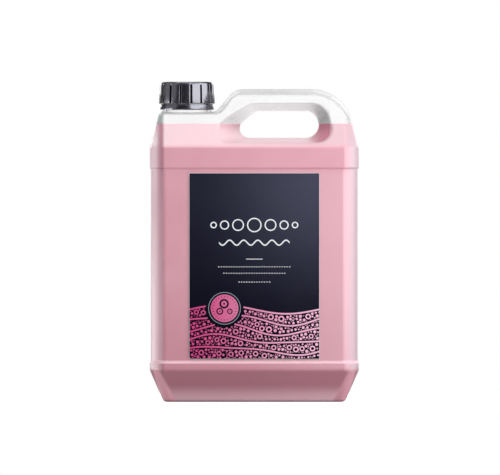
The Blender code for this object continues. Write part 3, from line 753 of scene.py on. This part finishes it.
class Print:
    """One ink on the label: flat shapes drawn about its middle and up from its lower edge."""

    def __init__(self, name, layer, look):
        self.name = name
        self.layer = layer
        self.look = look
        self.bm = bmesh.new()

    def disc(self, x, z, radius, stroke=0.0, corners=TURN):
        """A disc, or a ring of some stroke."""
        made = bmesh.ops.create_circle(self.bm, cap_ends=True, segments=corners, radius=radius,
                                       matrix=Matrix.Translation((x, z, 0)))
        if stroke:
            faces = list({face for vert in made["verts"] for face in vert.link_faces})
            bmesh.ops.inset_region(self.bm, faces=faces, thickness=stroke,
                                   use_boundary=True, use_even_offset=True)
            bmesh.ops.delete(self.bm, geom=faces, context="FACES_ONLY")

    def strip(self, half_width, half_stroke, height, steps=WAVE_STEPS, keep=None):
        """A line across the label's middle at a height that follows x."""
        made = bmesh.ops.create_grid(self.bm, x_segments=steps, y_segments=1, size=1,
                                     matrix=Matrix.Diagonal((half_width, half_stroke, 1, 1)))
        faces = {face for vert in made["verts"] for face in vert.link_faces}
        if keep:
            lost = [face for face in faces if not keep(face.calc_center_median().x)]
            kept = {vert for face in faces.difference(lost) for vert in face.verts}
            spare = [vert for vert in made["verts"] if vert not in kept]
            bmesh.ops.delete(self.bm, geom=lost, context="FACES_ONLY")
            bmesh.ops.delete(self.bm, geom=spare, context="VERTS")
            made["verts"] = list(kept)
        for vert in made["verts"]:
            slope = (height(vert.co.x + MM) - height(vert.co.x - MM)) / (2 * MM)
            vert.co.y = height(vert.co.x) + vert.co.y * math.sqrt(1 + slope * slope)

    def finish(self):
        """Give the shapes their thickness and stand them on the label's front."""
        bmesh.ops.recalc_face_normals(self.bm, faces=self.bm.faces)
        bmesh.ops.solidify(self.bm, geom=self.bm.faces[:], thickness=INK * INK_SHARE)
        low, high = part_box("front_label")
        upright = Matrix.Rotation(math.pi / 2, 4, "X")
        place = Matrix.Translation((0, low.y - INK * self.layer, low.z)) @ upright
        bmesh.ops.transform(self.bm, matrix=place, verts=self.bm.verts)
        piece(self.name, self.bm, "bottle", [self.look])


class Field:
    """The printed lower field: waves that run across it and the bubbles between them."""

    def __init__(self):
        low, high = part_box("front_label")
        self.half = (high.x - low.x) / 2 - EDGE_BORDER
        self.badge = Vector((BADGE_X, self.edge(BADGE_X) - BADGE_SINK))
        self.levels = range(math.ceil(FIELD_HEIGHT / WAVE_STEP))

    def edge(self, x):
        """Height of the field's wavy upper edge."""
        return FIELD_HEIGHT + FIELD_SWELL * math.sin(math.pi * (x + self.half) / self.half)

    def wave(self, x, level):
        """Height of one wave; the lower ones swing later."""
        swell = WAVE_SWELL if level else 0
        swing = math.sin(x / self.half * WAVE_TURN + level * WAVE_SHIFT)
        return self.edge(x) - WAVE_STEP * level + swell * swing

    def clear(self, x, z, room):
        """Whether a spot keeps its room from the badge."""
        return (Vector((x, z)) - self.badge).length > BADGE_RADIUS + BADGE_CLEAR + room

    def draw_waves(self, ink):
        """Draw each wave, but for the parts that would reach the badge or the film's lower edge."""
        for level in self.levels:
            def height(x, level=level):
                return self.wave(x, level)

            def kept(x, height=height):
                return height(x) > EDGE_BORDER + WAVE_LOWEST and self.clear(x, height(x), 0)

            ink.strip(self.half, WAVE_HALF, height, keep=kept)

    def draw_bubbles(self, ink):
        """Fill the room between the waves, large bubbles first."""
        chance = random.Random(BUBBLE_SEED)
        placed = []
        sizes = [chance.uniform(least, most)
                 for tries, least, most in BUBBLE_SIZES for _ in range(tries)]
        for radius in sizes:
            x = chance.uniform(-self.half + radius, self.half - radius)
            z = chance.uniform(EDGE_BORDER + radius, FIELD_HEIGHT + FIELD_SWELL)
            room = radius + BUBBLE_GAP
            if z > self.edge(x) - WAVE_HALF - room or not self.clear(x, z, radius):
                continue
            if any(abs(z - self.wave(x, level)) < room + WAVE_HALF for level in self.levels):
                continue
            if any((x - a) ** 2 + (z - b) ** 2 < (room + r) ** 2 for a, b, r in placed):
                continue
            placed.append((x, z, radius))
            stroke = radius * (1 - RING_SHARE) if radius > RING_LEAST else 0
            ink.disc(x, z, radius, stroke, SMALL_TURN * 2 if stroke else SMALL_TURN)


def label(looks):
    """Film with a bare white edge and a navy ground, printed with a pink field and an ornament."""
    low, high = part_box("front_label")
    bm = bmesh.new()
    place = Matrix.Translation((low + high) / 2) @ Matrix.Diagonal((*(high - low), 1))
    bmesh.ops.create_cube(bm, size=1, matrix=place)
    front = [face for face in bm.faces if face.normal.y < -0.5]
    bmesh.ops.inset_region(bm, faces=front, thickness=EDGE_BORDER)
    front[0].material_index = 1
    film_piece = piece("label_film", bm, "bottle", [looks["white"], looks["navy"]])
    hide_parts("front_label")

    field = Field()
    ink = Print("label_field", 1, looks["pink"])
    field.draw_waves(ink)
    field.draw_bubbles(ink)
    ink.disc(*field.badge, BADGE_RADIUS)
    ink.finish()
    badge(field.badge, looks)
    ornament(looks["white"])


def badge(centre, looks):
    """Round badge: a pale hairline and a dark ring round it, and dark bubbles in it."""
    line = Print("label_badge_line", 1, looks["pale"])
    line.disc(*centre, BADGE_RADIUS + BADGE_LINE_AWAY, BADGE_LINE)
    line.finish()

    def spot(angle, away):
        return centre + Vector((math.cos(angle), math.sin(angle))) * away * BADGE_RADIUS

    marks = Print("label_badge_marks", 2, looks["navy"])
    for turn, away, share in BADGE_BUBBLES:
        place = spot(math.radians(turn), away)
        radius = share * BADGE_RADIUS
        marks.disc(*place, radius, radius * BADGE_BUBBLE_STROKE)
        marks.disc(*place, radius * BADGE_BUBBLE_DOT)
    for k in range(BADGE_DOTS):
        place = spot(math.tau * k / BADGE_DOTS, BADGE_DOTS_AWAY)
        marks.disc(*place, BADGE_DOT_RADIUS, corners=SMALL_TURN)
    marks.finish()


def ornament(white):
    """Plain ornament: a row of rings, a wave, a short rule and dotted lines."""
    ink = Print("label_ornament", 1, white)
    x = -sum(ROW_RADII) * MM - ROW_GAP * (len(ROW_RADII) - 1) / 2
    for size in ROW_RADII:
        radius = size * MM
        ink.disc(x + radius, ROW_HEIGHT, radius, ROW_STROKE)
        x += 2 * radius + ROW_GAP

    def swing(x):
        angle = x / SWING_HALF_WIDTH * math.pi * SWING_WAVES
        return SWING_HEIGHT + SWING_SWELL * math.sin(angle)

    ink.strip(SWING_HALF_WIDTH, SWING_HALF, swing)
    ink.strip(RULE_HALF_WIDTH, RULE_HALF, lambda x: RULE_HEIGHT, steps=1)
    for height, count in DOT_ROWS:
        for k in range(count):
            ink.disc((k - (count - 1) / 2) * DOT_STEP, height, DOT_RADIUS, corners=SMALL_TURN)
    ink.finish()


def backdrop():
    """White to the camera, dim as light on the can; mirrored, dark in front and white behind."""
    world = bpy.data.worlds.new("studio")
    bpy.context.scene.world = world
    world.use_nodes = True
    tree = world.node_tree

    def plain(*colour):
        node = tree.nodes.new("ShaderNodeBackground")
        node.inputs["Color"].default_value = (*colour, 1)
        return node.outputs[0]

    def picked(factor, first, second):
        node = tree.nodes.new("ShaderNodeMixShader")
        for socket, source in zip(node.inputs, (factor, first, second)):
            tree.links.new(source, socket)
        return node.outputs[0]

    ray = tree.nodes.new("ShaderNodeLightPath").outputs
    way = tree.nodes.new("ShaderNodeSeparateXYZ")
    tree.links.new(tree.nodes.new("ShaderNodeTexCoord").outputs["Generated"], way.inputs[0])
    behind = tree.nodes.new("ShaderNodeMapRange")
    behind.inputs["From Min"].default_value, behind.inputs["From Max"].default_value = BEHIND
    tree.links.new(way.outputs["Y"], behind.inputs["Value"])
    mirrored = picked(behind.outputs[0], plain(*MIRRORED), plain(1, 1, 1))
    shade = picked(ray["Is Glossy Ray"], plain(*AMBIENT), mirrored)
    shade = picked(ray["Is Transmission Ray"], shade, plain(1, 1, 1))
    shade = picked(ray["Is Camera Ray"], shade, plain(1, 1, 1))
    tree.links.new(shade, tree.nodes["World Output"].inputs["Surface"])


def softbox(name, turn, rise, away, size, glow):
    """Light panel aimed at the can from an azimuth and a height angle; the glow is its radiance."""
    data = bpy.data.lights.new(name, "AREA")
    data.shape = "RECTANGLE"
    data.size, data.size_y = size
    data.energy = glow * math.pi * size[0] * size[1]
    made = bpy.data.objects.new(name, data)
    turn = math.radians(turn)
    rise = math.radians(rise)
    flat = math.cos(rise)
    out = Vector((math.sin(turn) * flat, -math.cos(turn) * flat, math.sin(rise)))
    made.location = LIGHT_AIM + out * away
    made.rotation_euler = out.to_track_quat("Z", "Y").to_euler()
    bpy.context.collection.objects.link(made)


def floor():
    """Pale floor that stays white to the camera but keeps the can's shadow."""
    bm = bmesh.new()
    bmesh.ops.create_grid(bm, x_segments=1, y_segments=1, size=FLOOR_REACH,
                          matrix=Matrix.Translation((0, 0, -FLOOR_GAP)))
    mesh = bpy.data.meshes.new("floor")
    bm.to_mesh(mesh)
    bm.free()
    made = bpy.data.objects.new("floor", mesh)
    bpy.context.collection.objects.link(made)
    look = Look("floor", roughness=0.9, emission_strength=1.0)
    look.gloss(0.0)
    seen = look.node("LightPath", output="Is Camera Ray")
    look.set("Base Color", look.mix(seen, FLOOR_BOUNCE, (FLOOR_SHADED,) * 3))
    look.set("Emission Color", look.mix(seen, (0.0, 0.0, 0.0), (FLOOR_GLOW,) * 3))
    mesh.materials.append(look.made)


def camera():
    """Long lens, level with the can, framed as the photograph."""
    data = bpy.data.cameras.new("camera")
    data.sensor_width = SENSOR
    data.lens = SENSOR * CAMERA_DISTANCE / (IMAGE_WIDTH * PIXEL)
    data.clip_end = CAMERA_DISTANCE * 4
    made = bpy.data.objects.new("camera", data)
    aim = Vector(((IMAGE_WIDTH / 2 - CENTRE_PX) * PIXEL, 0, (FOOT_PX - IMAGE_HEIGHT / 2) * PIXEL))
    back = Vector((0, -math.cos(CAMERA_RISE), math.sin(CAMERA_RISE)))
    made.location = aim + back * CAMERA_DISTANCE
    made.rotation_euler = back.to_track_quat("Z", "Y").to_euler()
    bpy.context.collection.objects.link(made)
    bpy.context.scene.camera = made


def main():
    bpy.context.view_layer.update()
    bpy.context.scene.view_settings.view_transform = "Standard"
    camera()
    backdrop()
    floor()
    for light in LIGHTS:
        softbox(*light)
    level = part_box("soap")[1].z
    can(natural_plastic(level))
    soap(pearl_soap(), level)
    black = black_plastic()
    cap([black, groove_shade_black()])
    band(black)
    liner(white_foam())
    label({
        "white": film("white_print", WHITE_INK),
        "pale": film("pale_print", PALE_INK),
        # the navy's change up and to the right is painted light
        "navy": film("navy_print", *NAVY_INK_AND_LIGHT, across=NAVY_LIGHT_ACROSS),
        "pink": film("pink_print", *PINK_INK),
    })


main()
